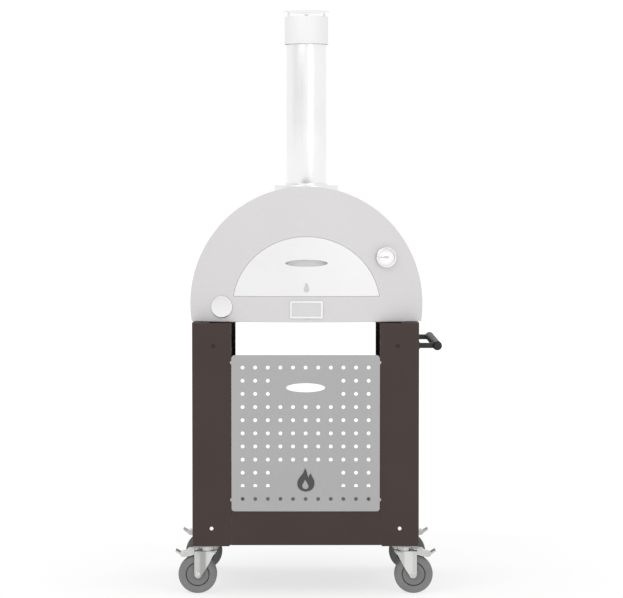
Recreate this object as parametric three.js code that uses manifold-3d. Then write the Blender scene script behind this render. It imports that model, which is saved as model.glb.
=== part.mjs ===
// Small domed pizza oven on a wheeled sheet-steel cart.
// Millimetres, +Z up. The front faces -Y and the handle is on the +X side. The
// assembly is built about the cart's own middle, then moved so that the middle of
// its bounding box is over the origin and the wheels stand on z = 0.

import * as THREE from 'three';
import { mergeVertices } from 'three/addons/utils/BufferGeometryUtils.js';
import Module from 'manifold-3d';

const wasm = await Module();
wasm.setup();

// ---------------------------------------------------------------- dimensions
const GAP = 0.3; // clearance between touching pieces

// cart
const CART_W = 590; // over the side panels
const CART_D = 510; // front plane to rear plane
const SHEET = 2.5; // folded sheet thickness
const PANEL_Z0 = 133; // lower edge of the side panels
const CART_TOP = 716; // upper edge of the side panels
const POST_INNER = 193.5; // half width between the front flanges
const REAR_INNER = 196.6; // half width between the rear flanges
const FLANGE_LIP = 16; // lip folded back behind each flange
const SHELF_TOP = 224;
const APRON_Z0 = 136;
const BEND = 3; // outer bend radius of the folded corners

// perforated front panel
const PLATE_HALF_W = 192.8;
const PLATE_Z0 = 225;
const PLATE_Z1 = 632.6;
const PLATE_Y0 = -257.7;
const PLATE_Y1 = -255.5;
const HOLE_PITCH_X = 32.76;
const HOLE_PITCH_Z = 34.27;
const HOLE_ROW_1 = 600; // height of the top row of holes
const HOLE_R = 5;
const HAND_SLOT = { z: 547.5, a: 50.6, b: 11.8 };
const LUG_Z = [255, 613];
const LUG_OUT = 3.6; // how far a lug stands out past the panel's side
const BADGE_Z = 307;

// fasteners
const LOW_SCREW = { x: 245, z: 179.5 };
const HIGH_SCREW = { x: 239.5, z: 656 };

// handle
const GRIP = { x: 345.2, z: 653.3, r: 12, half: 207 };
const ARM = { r: 7.1, yFront: -190, yRear: 176 };

// castors
const CASTOR_X = 260; // swivel axis
const CASTOR_Y = 200;
const TRAIL = 23.5; // wheel axle behind the swivel axis
const WHEEL_R = 50.6;
const AXLE_Z = 53; // wheel centre; the treads end 2.4 above z = 0 before the final shift
const WHEEL_HALF = 15.5;
const HUB_R = 30.7;
const BORE_R = 6.2;
const AXLE_R = 5.8;
const LEG_IN = 18.5; // inner face of a fork leg
const LEG_OUT = 21;
const CROWN_Z0 = 111;
const CROWN_Z1 = 114.4;
const PLATE_TOP = 132.7;
const BRAKE_PIVOT = { x: 20, z: 107.4 };

// oven front
const BOW_R = 862; // plan radius of the bowed front
const BOW_Y = -260; // foremost line of the bowed front
const FRONT = { a: 303.8, b: 306, zc: 764, z0: 718.2, sheet: 3, rim: 15 };
const DOOR = { a: 191.6, b: 181.5, zc: 758, z0: 785, rear: -222 };
const DOOR_SLOT = { z: 871, a: 55, b: 9.1 };
const CUP = { wall: 1, depth: 12, flange: 4 }; // closed finger recess behind the door slot
const PLATE = { x: 42.5, z0: 728, z1: 773, border: 4.8 };
const OVEN_X = 2.2; // the oven stands this far off the cart's middle
const GAUGE = { x: 205.6, z: 886 };
const PORT = { x: -220.4, z: 756.6, r: 28.5 };

// oven body
const DOME = { r: 296, zc: 764, straight: 92, rear: 252, sheet: 2 };
const VAULT = { a: 226, b: 206, zc: 765, front: -190, straight: 60, rear: 190, sheet: 3.5 };
const BOARD_Z = [719.6, 750];
const TILE_Z = [750.3, 780];

// flue
const FLUE_Y = -65;
const PIPE = { r: 52.8, wall: 2, z0: 966, z1: 1517 };
const COLLAR = { r: 84.5, z: 1073 };
const SLEEVE = { r: 57.8, wall: 1.4, z0: 1447, z1: 1520 };
const DISC = { r: 61, z0: 1530.5, z1: 1537 };

// ------------------------------------------------------------------ materials
const mat = (color, roughness, metalness, extra = {}) =>
  new THREE.MeshStandardMaterial({ color, roughness, metalness, ...extra });
const BROWN = mat('#4c4341', 0.55, 0.1);
const PALE = mat('#dcdadb', 0.5, 0.15);
const STAINLESS = mat('#e6e6e6', 0.3, 0.9);
const PANEL_GREY = mat('#b4b4b4', 0.45, 0.3);
const ZINC = mat('#bcbcb6', 0.35, 0.85);
const TYRE = mat('#838383', 0.8, 0);
const HUB = mat('#7b7b7b', 0.6, 0);
const BLACK = mat('#1b1b1c', 0.5, 0.05);
const STONE = mat('#d8cbb4', 0.9, 0);
const WOOL = mat('#e8e4d8', 0.95, 0);
const WHITE = mat('#f3f1ee', 0.5, 0);
const GLASS = mat('#ffffff', 0.05, 0, { transparent: true, opacity: 0.35 });
const MARK = mat('#3a3a3c', 0.5, 0);

// -------------------------------------------------------------------- helpers
// closed three.js geometry -> solid
function solid(geometry) {
  let g = geometry.clone();
  g.deleteAttribute('normal');
  g.deleteAttribute('uv');
  g = mergeVertices(g, 1e-4);
  const p = g.getAttribute('position').array;
  const src = g.index.array;
  const tris = [];
  let volume = 0;
  for (let i = 0; i < src.length; i += 3) {
    const [a, b, c] = [src[i], src[i + 1], src[i + 2]];
    if (a === b || b === c || c === a) continue;
    tris.push(a, b, c);
    const [ax, ay, az] = [p[3 * a], p[3 * a + 1], p[3 * a + 2]];
    const [bx, by, bz] = [p[3 * b], p[3 * b + 1], p[3 * b + 2]];
    const [cx, cy, cz] = [p[3 * c], p[3 * c + 1], p[3 * c + 2]];
    volume += ax * (by * cz - bz * cy) + ay * (bz * cx - bx * cz) + az * (bx * cy - by * cx);
  }
  if (volume < 0) {
    for (let i = 0; i < tris.length; i += 3) [tris[i + 1], tris[i + 2]] = [tris[i + 2], tris[i + 1]];
  }
  return new wasm.Manifold(
    new wasm.Mesh({ numProp: 3, vertProperties: new Float32Array(p), triVerts: new Uint32Array(tris) }),
  );
}

// solid -> three.js geometry
function geometryOf(body) {
  const m = body.getMesh();
  const g = new THREE.BufferGeometry();
  const p = new Float32Array(m.numVert * 3);
  for (let i = 0; i < m.numVert; i++) {
    for (let k = 0; k < 3; k++) p[3 * i + k] = m.vertProperties[i * m.numProp + k];
  }
  g.setAttribute('position', new THREE.BufferAttribute(p, 3));
  g.setIndex(Array.from(m.triVerts));
  g.computeVertexNormals();
  return g;
}

const box = (x0, x1, y0, y1, z0, z1) =>
  solid(new THREE.BoxGeometry(x1 - x0, y1 - y0, z1 - z0).translate((x0 + x1) / 2, (y0 + y1) / 2, (z0 + z1) / 2));

const shapeOf = (points, holes = []) => {
  const s = new THREE.Shape(points.map(([x, y]) => new THREE.Vector2(x, y)));
  for (const h of holes) s.holes.push(new THREE.Path(h.map(([x, y]) => new THREE.Vector2(x, y))));
  return s;
};
const extrude = (shape, depth) =>
  new THREE.ExtrudeGeometry(shape, { depth, bevelEnabled: false, curveSegments: 8, steps: 1 });

// an outline in (x, y), standing from z0 to z1
const prismZ = (points, z0, z1, holes) => solid(extrude(shapeOf(points, holes), z1 - z0).translate(0, 0, z0));
// an outline in (x, z), running from y0 to y1
const prismY = (points, y0, y1, holes) =>
  solid(extrude(shapeOf(points, holes), y1 - y0).rotateX(Math.PI / 2).translate(0, y1, 0));

// profiles in (radius, height) turned about an axis; the profile starts and
// ends on the axis, or closes on itself
const turn = (points, segments, closed = false) => {
  const list = closed ? [...points, points[0]] : points;
  return new THREE.LatheGeometry(list.map(([r, h]) => new THREE.Vector2(r, h)), segments);
};
const turnedY = (points, segments, closed) => solid(turn(points, segments, closed));
const turnedZ = (points, segments, closed) => solid(turn(points, segments, closed).rotateX(Math.PI / 2));
const turnedX = (points, segments, closed) => solid(turn(points, segments, closed).rotateZ(-Math.PI / 2));

const arc = (cx, cy, a, b, from, to, n) => {
  const out = [];
  for (let i = 0; i <= n; i++) {
    const t = from + ((to - from) * i) / n;
    out.push([cx + a * Math.cos(t), cy + b * Math.sin(t)]);
  }
  return out;
};
const ring = (cx, cy, a, b, n, phase = 0) => arc(cx, cy, a, b, phase, phase + 2 * Math.PI, n).slice(0, -1);
// part of an ellipse above a level line
function arch(a, b, zc, z0, n) {
  const s = Math.asin((z0 - zc) / b);
  return arc(0, zc, a, b, s, Math.PI - s, n);
}
// rectangle with rounded corners
function rounded(x0, x1, y0, y1, r, n = 3) {
  return [
    ...arc(x1 - r, y0 + r, r, r, -Math.PI / 2, 0, n),
    ...arc(x1 - r, y1 - r, r, r, 0, Math.PI / 2, n),
    ...arc(x0 + r, y1 - r, r, r, Math.PI / 2, Math.PI, n),
    ...arc(x0 + r, y0 + r, r, r, Math.PI, 1.5 * Math.PI, n),
  ];
}

const assembly = new THREE.Group();
let parentGroup = assembly;
function piece(name, body, material, parent = parentGroup) {
  const mesh = new THREE.Mesh(geometryOf(body), material);
  mesh.name = name;
  parent.add(mesh);
  return mesh;
}

// ----------------------------------------------------------------------- cart
// Each side panel is one sheet folded into a channel: a wall with a front and a
// rear flange, each with a lip, closed by a fold at the top and at the bottom.
function sidePanel() {
  const X = CART_W / 2;
  const Y = CART_D / 2;
  const t = SHEET;
  const outline = [
    [POST_INNER, -Y],
    ...arc(X - BEND, -Y + BEND, BEND, BEND, -Math.PI / 2, 0, 2),
    ...arc(X - BEND, Y - BEND, BEND, BEND, 0, Math.PI / 2, 2),
    [REAR_INNER, Y],
    [REAR_INNER, Y - FLANGE_LIP],
    [REAR_INNER + t, Y - FLANGE_LIP],
    [REAR_INNER + t, Y - t],
    [X - t, Y - t],
    [X - t, -Y + t],
    [POST_INNER + t, -Y + t],
    [POST_INNER + t, -Y + FLANGE_LIP],
    [POST_INNER, -Y + FLANGE_LIP],
  ];
  let body = prismZ(outline, PANEL_Z0, CART_TOP);
  body = body.add(box(REAR_INNER + 14, X - 1, -Y + 1, Y - 1, PANEL_Z0, PANEL_Z0 + t));
  body = body.add(box(X - 42, X - 1, -Y + 1, Y - 1, CART_TOP - t, CART_TOP));
  // relief notch at the foot of the front flange
  body = body.subtract(box(POST_INNER - 1, POST_INNER + 4.8, -Y - 1, -Y + FLANGE_LIP + 1, PANEL_Z0 - 1, APRON_Z0));
  for (const s of [LOW_SCREW, HIGH_SCREW]) {
    body = body.subtract(prismY(ring(s.x, s.z, 2.8, 2.8, 8), -Y - 5, -Y + 5));
  }
  return body;
}
const rightPanel = sidePanel();
piece('right_side_panel', rightPanel, BROWN);
piece('left_side_panel', rightPanel.mirror([1, 0, 0]), BROWN);

// The shelf is an upside-down tray between the side panels.
{
  const X = CART_W / 2 - SHEET - GAP;
  const Y = CART_D / 2 - SHEET - GAP;
  const zLow = 150;
  let shelf = box(-X, X, -Y, Y, zLow, SHELF_TOP).subtract(
    box(-X + SHEET, X - SHEET, -Y + SHEET, Y - SHEET, zLow - 1, SHELF_TOP - SHEET),
  );
  // notches that let the flange lips pass
  for (const s of [-1, 1]) {
    const f = [s * (POST_INNER - GAP), s * (POST_INNER + SHEET + GAP)].sort((a, b) => a - b);
    const r = [s * (REAR_INNER - GAP), s * (REAR_INNER + SHEET + GAP)].sort((a, b) => a - b);
    const lip = CART_D / 2 - FLANGE_LIP - GAP;
    shelf = shelf.subtract(box(f[0], f[1], -Y - 1, -lip, zLow - 1, SHELF_TOP + 1));
    shelf = shelf.subtract(box(r[0], r[1], lip, Y + 1, zLow - 1, SHELF_TOP + 1));
    shelf = shelf.subtract(prismY(ring(s * LOW_SCREW.x, LOW_SCREW.z, 2.8, 2.8, 8), -Y - 5, -Y + 8));
  }
  piece('storage_shelf', shelf, BROWN);
}

// Aprons: cover strips between the flanges, with a lip folded under.
function apron(halfWidth, yOuter, dir) {
  const t = SHEET;
  const y = (d) => yOuter + dir * d;
  const outline = [
    [y(0), APRON_Z0],
    [y(22), APRON_Z0],
    [y(22), APRON_Z0 + t],
    [y(t), APRON_Z0 + t],
    [y(t), SHELF_TOP],
    [y(0), SHELF_TOP],
  ];
  const g = extrude(shapeOf(outline), 2 * halfWidth);
  // outline (y, z) -> world, running along x
  g.applyMatrix4(
    new THREE.Matrix4().makeBasis(new THREE.Vector3(0, 1, 0), new THREE.Vector3(0, 0, 1), new THREE.Vector3(1, 0, 0)),
  );
  g.translate(-halfWidth, 0, 0);
  return solid(g);
}
piece('front_apron', apron(POST_INNER - GAP, -CART_D / 2, 1), BROWN);
piece('rear_apron', apron(REAR_INNER - GAP, CART_D / 2, -1), BROWN);

// Dome-head screws through the front flanges.
function screw(headR, headH, length) {
  return turnedY(
    [
      [0, -headH],
      [headR * 0.6, -headH * 0.8],
      [headR, 0],
      [2.4, 0],
      [2.4, length],
      [0, length],
    ],
    10,
  );
}
for (const [name, s, side, material] of [
  ['apron_screw_left', LOW_SCREW, -1, ZINC],
  ['apron_screw_right', LOW_SCREW, 1, ZINC],
  ['upper_screw_left', HIGH_SCREW, -1, BROWN],
  ['upper_screw_right', HIGH_SCREW, 1, BROWN],
]) {
  const m = piece(name, screw(material === ZINC ? 5.2 : 4.6, material === ZINC ? 3 : 2, 10), material);
  m.position.set(side * s.x, -CART_D / 2 - GAP, s.z);
}

// Handle: a tube grip on two arms from the right side panel.
{
  const grip = turnedY(
    [
      [0, -GRIP.half],
      [GRIP.r - 4, -GRIP.half],
      [GRIP.r - 1.2, -GRIP.half + 1.4],
      [GRIP.r, -GRIP.half + 4],
      [GRIP.r, GRIP.half - 4],
      [GRIP.r - 1.2, GRIP.half - 1.4],
      [GRIP.r - 4, GRIP.half],
      [0, GRIP.half],
    ],
    20,
  );
  piece('handle_grip', grip, BLACK).position.set(GRIP.x, 0, GRIP.z);
  const x0 = CART_W / 2 + GAP;
  const bar = turnedX([[0, x0], [11, x0], [11, x0 + 3], [ARM.r, x0 + 4], [ARM.r, GRIP.x], [0, GRIP.x]], 16);
  const relief = turnedY([[0, -40], [GRIP.r + GAP + 0.15, -40], [GRIP.r + GAP + 0.15, 40], [0, 40]], 20).translate([
    GRIP.x,
    0,
    0,
  ]);
  const arm = bar.subtract(relief);
  piece('handle_arm_front', arm, BLACK).position.set(0, ARM.yFront, GRIP.z);
  piece('handle_arm_rear', arm, BLACK).position.set(0, ARM.yRear, GRIP.z);
}

// -------------------------------------------------------------------- castors
// Built with the swivel axis on x = y = 0 and the wheel trailing towards +X.
function castorParts() {
  let plate = box(-34, 34, -42, 42, PLATE_TOP - 4, PLATE_TOP).add(
    turnedZ(
      [
        [0, 106.2],
        [8, 106.2],
        [9.2, 107.2],
        [9.2, CROWN_Z0 - GAP],
        [6, CROWN_Z0 - GAP],
        [6, CROWN_Z1 + GAP],
        [17, CROWN_Z1 + GAP],
        [17, PLATE_TOP - 2],
        [0, PLATE_TOP - 2],
      ],
      16,
    ),
  );
  // the four mounting nuts
  for (const sx of [-1, 1]) {
    for (const sy of [-1, 1]) {
      plate = plate.add(prismZ(ring(sx * 24, sy * 33, 6.5, 6.5, 6), PLATE_TOP - 10, PLATE_TOP - 3));
    }
  }

  const xa = TRAIL;
  const leg = [
    [-25.5, CROWN_Z0 + 1],
    [-20, 106.4],
    [-16, 101.1],
    [-13, 94.6],
    [-7.9, 84],
    [-1.9, 73.5],
    [4.4, 63],
    ...arc(xa - 1.5, AXLE_Z, 9.8, 9.8, Math.PI * 1.05, Math.PI * 2, 6),
    [xa + 8.3, CROWN_Z0 + 1],
  ];
  const legPair = prismY(leg, -LEG_OUT, LEG_OUT, [ring(xa, AXLE_Z, BORE_R, BORE_R, 10)]).subtract(
    box(-60, 80, -LEG_IN, LEG_IN, 20, 140),
  );
  const crown = prismZ(
    [
      ...arc(0, 0, 26.5, LEG_OUT, Math.PI / 2, 1.5 * Math.PI, 8),
      [xa + 8.3, -LEG_OUT],
      [xa + 8.3, LEG_OUT],
    ],
    CROWN_Z0,
    CROWN_Z1,
    [ring(0, 0, 6.5, 6.5, 12)],
  );
  let fork = crown.add(legPair);
  for (const s of [-1, 1]) {
    fork = fork.add(
      prismY(ring(BRAKE_PIVOT.x, BRAKE_PIVOT.z, 4, 4, 8), s > 0 ? LEG_OUT - 1 : -LEG_OUT - 1.6, s > 0 ? LEG_OUT + 1.6 : -LEG_OUT + 1),
    );
  }

  const axle = turnedY(
    [
      [0, -LEG_OUT - 3],
      [5.4, -LEG_OUT - 2.5],
      [7.6, -LEG_OUT - GAP],
      [AXLE_R, -LEG_OUT - GAP],
      [AXLE_R, LEG_OUT + GAP],
      [7.6, LEG_OUT + GAP],
      [5.4, LEG_OUT + 2.5],
      [0, LEG_OUT + 3],
    ],
    12,
  );

  const n = 24;
  const rv = WHEEL_R / Math.cos(Math.PI / n); // flats touch the floor
  const tyre = solid(
    turn(
      [
        [HUB_R + GAP, -WHEEL_HALF],
        [rv - 4, -WHEEL_HALF],
        [rv, -WHEEL_HALF + 5],
        [rv, WHEEL_HALF - 5],
        [rv - 4, WHEEL_HALF],
        [HUB_R + GAP, WHEEL_HALF],
      ],
      n,
      true,
    ).rotateY(Math.PI / n),
  );
  const hub = turnedY(
    [
      [BORE_R + 0.1, -LEG_IN + 0.7],
      [13, -LEG_IN + 0.7],
      [14, -WHEEL_HALF + 1],
      [HUB_R, -WHEEL_HALF + 1],
      [HUB_R, WHEEL_HALF - 1],
      [14, WHEEL_HALF - 1],
      [13, LEG_IN - 0.7],
      [BORE_R + 0.1, LEG_IN - 0.7],
    ],
    16,
    true,
  );

  // brake pedal: barrel, arm with a shoe over the tyre, a release tongue over
  // the crown and a turned-up tip
  const p = BRAKE_PIVOT;
  const side = [
    [p.x, p.z - 2.6],
    [32, 104.8],
    [38, 103.3],
    [44, 101.6],
    [50, 100.2],
    [60, 98.4],
    [66, 100.6],
    [68.8, 104.6],
    [81.8, 114.2],
    [80.4, 117.4],
    [68.4, 110.4],
    [62, 112.8],
    [52.5, 114.4],
    [48.5, 118.4],
    [46, 120.2],
    [37.5, 120.2],
    [35.5, 119.4],
    [25, 119.2],
    [25, 117.2],
    [xa + 8.9, 117.2],
    [xa + 8.9, p.z + 2.9],
    [p.x, p.z + 2.9],
  ];
  let pedal = prismY(side, -17, 17);
  // the arm is a channel, open underneath past the shoe
  pedal = pedal.subtract(box(52, 65, -14.5, 14.5, 90, 109.5));
  pedal = pedal.add(prismY(ring(p.x, p.z, 2.9, 2.9, 12), -17.9, 17.9));
  return { plate, fork, axle, tyre, hub, pedal };
}
const castor = castorParts();
for (const [tag, sx, sy] of [
  ['front_left', -1, -1],
  ['front_right', 1, -1],
  ['rear_left', -1, 1],
  ['rear_right', 1, 1],
]) {
  const g = new THREE.Group();
  g.position.set(sx * CASTOR_X, sy * CASTOR_Y, 0);
  if (sx < 0) g.rotation.z = Math.PI;
  piece(`castor_plate_${tag}`, castor.plate, ZINC, g);
  piece(`castor_fork_${tag}`, castor.fork, ZINC, g);
  const w = new THREE.Group();
  w.position.set(TRAIL, 0, AXLE_Z);
  piece(`axle_${tag}`, castor.axle, ZINC, w);
  piece(`tyre_${tag}`, castor.tyre, TYRE, w);
  piece(`wheel_hub_${tag}`, castor.hub, HUB, w);
  g.add(w);
  piece(`brake_pedal_${tag}`, castor.pedal, ZINC, g);
  assembly.add(g);
}

// ---------------------------------------------------------------- front panel
{
  // outline with a small lug at each side of the two lug heights
  const W = PLATE_HALF_W;
  const lug = (s, up) => {
    const zs = up ? LUG_Z : [...LUG_Z].reverse();
    const out = [];
    for (const z of zs) {
      const d = up ? 1 : -1;
      out.push([s * W, z - d * 4.4], [s * (W + LUG_OUT), z - d * 3], [s * (W + LUG_OUT), z + d * 3], [s * W, z + d * 4.4]);
    }
    return out;
  };
  const outline = [
    ...arc(W - 8, PLATE_Z0 + 8, 8, 8, -Math.PI / 2, 0, 3),
    ...lug(1, true),
    ...arc(W - 10, PLATE_Z1 - 10, 10, 10, 0, Math.PI / 2, 3),
    ...arc(-W + 10, PLATE_Z1 - 10, 10, 10, Math.PI / 2, Math.PI, 3),
    ...lug(-1, false),
    ...arc(-W + 8, PLATE_Z0 + 8, 8, 8, Math.PI, 1.5 * Math.PI, 3),
  ];
  const holes = [];
  for (let row = 0; row < 11; row++) {
    for (let col = 0; col < 11; col++) {
      const centre = col >= 3 && col <= 7;
      if (centre && (row === 1 || row === 2 || row === 8 || row === 9)) continue;
      holes.push(
        ring((col - 5) * HOLE_PITCH_X, HOLE_ROW_1 - row * HOLE_PITCH_Z, HOLE_R, HOLE_R, 5, Math.PI / 2).reverse(),
      );
    }
  }
  holes.push(ring(0, HAND_SLOT.z, HAND_SLOT.a, HAND_SLOT.b, 24).reverse());
  piece('perforated_panel', prismY(outline, PLATE_Y0, PLATE_Y1, holes), PANEL_GREY);

  // plain flame pictogram fixed to the panel
  const flame = new THREE.Shape();
  flame.moveTo(0, -30);
  flame.bezierCurveTo(16, -30, 24, -19, 23, -6);
  flame.bezierCurveTo(22, 4, 15, 8, 14, 17);
  flame.bezierCurveTo(9, 14, 8, 9, 8, 5);
  flame.bezierCurveTo(3, 12, 5, 22, -2, 31);
  flame.bezierCurveTo(-3, 19, -12, 12, -18, 3);
  flame.bezierCurveTo(-27, -10, -20, -30, 0, -30);
  const inner = new THREE.Path();
  inner.moveTo(0, -24);
  inner.bezierCurveTo(-9, -24, -11, -15, -7, -9);
  inner.bezierCurveTo(-4, -5, -3, -3, -3, 1);
  inner.bezierCurveTo(3, -3, 3, -6, 5, -9);
  inner.bezierCurveTo(10, -16, 8, -24, 0, -24);
  flame.holes.push(inner);
  const g = new THREE.ExtrudeGeometry(flame, { depth: 0.9, bevelEnabled: false, curveSegments: 5 })
    .rotateX(Math.PI / 2)
    .translate(0, PLATE_Y0 - GAP, BADGE_Z);
  piece('panel_badge', solid(g), MARK);
}

// ----------------------------------------------------------------- oven front
const oven = new THREE.Group();
oven.position.x = OVEN_X;
assembly.add(oven);
parentGroup = oven;
const BOW_C = BOW_Y + BOW_R; // y of the bow's centre line
const bowAngle = (x) => Math.asin(x / BOW_R);
const bowY = (x) => BOW_C - Math.sqrt(BOW_R * BOW_R - x * x);
// plan strip between two depths behind the bowed surface
function bowStrip(d0, d1, n = 16) {
  const w = Math.asin(330 / BOW_R);
  const at = (d) => {
    const out = [];
    for (let i = 0; i <= n; i++) {
      const t = -w + (2 * w * i) / n;
      out.push([(BOW_R - d) * Math.sin(t), BOW_C - (BOW_R - d) * Math.cos(t)]);
    }
    return out;
  };
  return prismZ([...at(d0), ...at(d1).reverse()], 690, 1100);
}
// everything behind a depth d, as far as yRear
function behind(d, yRear, n = 16) {
  const w = Math.asin(330 / BOW_R);
  const out = [];
  for (let i = 0; i <= n; i++) {
    const t = -w + (2 * w * i) / n;
    out.push([(BOW_R - d) * Math.sin(t), BOW_C - (BOW_R - d) * Math.cos(t)]);
  }
  const last = out[out.length - 1][0];
  return prismZ([...out, [last, yRear], [-last, yRear]], 600, 1200);
}
const gaugeRotation = bowAngle(GAUGE.x);
const portRotation = bowAngle(PORT.x);
function radialHole(p, r) {
  return turnedY([[0, -30], [r, -30], [r, 30], [0, 30]], 24)
    .rotate([0, 0, (bowAngle(p.x) * 180) / Math.PI])
    .translate([p.x, bowY(p.x), p.z]);
}

{
  const outer = (d, n) => arch(FRONT.a - d, FRONT.b - d, FRONT.zc, FRONT.z0 + d, n);
  const opening = arch(DOOR.a + 0.6, DOOR.b + 0.6, DOOR.zc, DOOR.z0 - 0.6, 28);
  let plate = bowStrip(0, FRONT.sheet).intersect(prismY(outer(0, 48), -300, -100, [opening]));
  const rim = bowStrip(FRONT.sheet - 1, FRONT.rim).intersect(
    prismY(outer(0, 48), -300, -100).subtract(
      prismY(arch(FRONT.a - 3, FRONT.b - 3, FRONT.zc, FRONT.z0 + 1.2, 48), -310, -90),
    ),
  );
  plate = plate.add(rim);
  plate = plate.subtract(radialHole(GAUGE, 4.5)).subtract(radialHole(PORT, 20.8));
  piece('facade', plate, PALE);
}

// Door: a bowed pan that drops into the mouth, with a hand slot.
{
  const outline = arch(DOOR.a, DOOR.b, DOOR.zc, DOOR.z0, 28);
  const inner = arch(DOOR.a - 3, DOOR.b - 3, DOOR.zc, DOOR.z0 + 3, 28);
  let door = bowStrip(0, 3).intersect(prismY(outline, -300, -100));
  door = door.add(
    behind(2, 0).intersect(prismY(outline, -300, DOOR.rear).subtract(prismY(inner, -310, DOOR.rear + 10))),
  );
  door = door.subtract(prismY(ring(0, DOOR_SLOT.z, DOOR_SLOT.a, DOOR_SLOT.b, 24), -300, -240));
  // small drop-shaped recess
  const drop = [[0, 822], [4.5, 812], [7, 804.5], ...arc(0, 802, 7, 6.5, 0, -Math.PI, 6), [-7, 804.5], [-4.5, 812]];
  door = door.subtract(prismY([...drop].reverse(), -300, BOW_Y + 1.5));
  piece('oven_door', door, STAINLESS);

  // closed finger recess behind the slot
  const s = DOOR_SLOT;
  const front = bowY(0) + 3 + GAP;
  const ell = (o) => ring(0, s.z, s.a + o, s.b + o, 24);
  let cup = behind(3 + GAP, 0).intersect(prismY(ell(CUP.flange), -300, front + CUP.depth));
  cup = cup.subtract(behind(3 + GAP + CUP.wall, 0).subtract(prismY(ell(0.6), -300, -200)).intersect(prismY(ell(20), -300, 0)));
  cup = cup.subtract(prismY(ell(0.6 - CUP.wall), -300, front + CUP.depth - CUP.wall));
  piece('door_finger_recess', cup, STAINLESS);
}

// Blank name plate with a raised border.
{
  const p = PLATE;
  const field = bowStrip(-2.2, -GAP).intersect(prismY(rounded(-p.x, p.x, p.z0, p.z1, 3, 2), -300, -200));
  const border = bowStrip(-3.2, -1.4).intersect(
    prismY(rounded(-p.x, p.x, p.z0, p.z1, 3, 2), -300, -200).subtract(
      prismY(rounded(-p.x + p.border, p.x - p.border, p.z0 + p.border, p.z1 - p.border, 2, 2), -310, -190),
    ),
  );
  piece('name_plate', field.add(border), STAINLESS);
}

// Thermometer: case with its stem, dial, pointer on the spindle, glass, bezel.
{
  const g = new THREE.Group();
  g.position.set(GAUGE.x, bowY(GAUGE.x), GAUGE.z);
  g.rotation.z = gaugeRotation;
  piece(
    'thermometer_case',
    turnedY(
      [
        [0, 24], [4, 24], [4, -0.6], [26.3, -0.6], [26.3, -9], [24.9, -9], [24.9, -2.1], [1.2, -2.1], [1.2, -5.4], [0, -5.4],
      ],
      20,
    ),
    STAINLESS,
    g,
  );
  piece('thermometer_dial', turnedY([[1.7, -3.4], [24.4, -3.4], [24.4, -2.4], [1.7, -2.4]], 20, true), WHITE, g);
  const pointer = [
    [-1.3, 2.6], [-0.4, 18.5], [0.4, 18.5], [1.3, 2.6],
    ...arc(0, 0, 2.9, 2.9, Math.PI * 0.28, -Math.PI * 0.3, 3),
    [1.6, -8], [-1.6, -8],
    ...arc(0, 0, 2.9, 2.9, Math.PI * 1.3, Math.PI * 0.72, 3),
  ];
  // at rest the hand points to the left
  const hand = prismY([...pointer].reverse(), -4.9, -4, [ring(0, 0, 1.5, 1.5, 10)]).rotate([0, -90, 0]);
  piece('thermometer_pointer', hand, BLACK, g);
  piece('thermometer_glass', turnedY([[0, -8.9], [24.4, -8.9], [24.4, -7.2], [0, -7.2]], 20), GLASS, g);
  piece(
    'thermometer_bezel',
    turnedY([[23, -9.3], [26.6, -9.3], [26.6, -10.2], [24.6, -11.2], [23, -10.6]], 20, true),
    STAINLESS,
    g,
  );
  oven.add(g);
}

// Blanking cap over the burner port.
{
  const g = new THREE.Group();
  g.position.set(PORT.x, bowY(PORT.x), PORT.z);
  g.rotation.z = portRotation;
  piece(
    'burner_port_cap',
    turnedY([[0, 11], [20, 11], [20, -0.6], [PORT.r, -0.6], [PORT.r, -2.6], [PORT.r - 1.5, -4], [0, -4.6]], 20),
    STAINLESS,
    g,
  );
  oven.add(g);
}

// ------------------------------------------------------------------ oven body
// Barrel with a rounded back, lying along Y, as a closed solid.
function bullet(r, zScale, zc, front, straight, rear, segments, rings) {
  const profile = [[0, rear]];
  for (let i = 1; i <= rings; i++) {
    const t = (Math.PI / 2) * (1 - i / rings);
    profile.push([r * Math.cos(t), straight + (rear - straight) * Math.sin(t)]);
  }
  profile.push([r, front], [0, front]);
  return solid(turn(profile, segments).rotateY(Math.PI / segments)).scale([1, 1, zScale]).translate([0, 0, zc]);
}
const flueHole = turnedZ([[0, 900], [53.8, 900], [53.8, 1300], [0, 1300]], 28).translate([0, FLUE_Y, 0]);
const above = (z) => box(-400, 400, -400, 400, z, 1300);

// D-shaped plan outline with a rounded back
const dPlan = (halfWidth, yFront, straight, rear, n) => [
  [-halfWidth, yFront],
  [halfWidth, yFront],
  ...arc(0, straight, halfWidth, rear - straight, 0, Math.PI, n),
];

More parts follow.
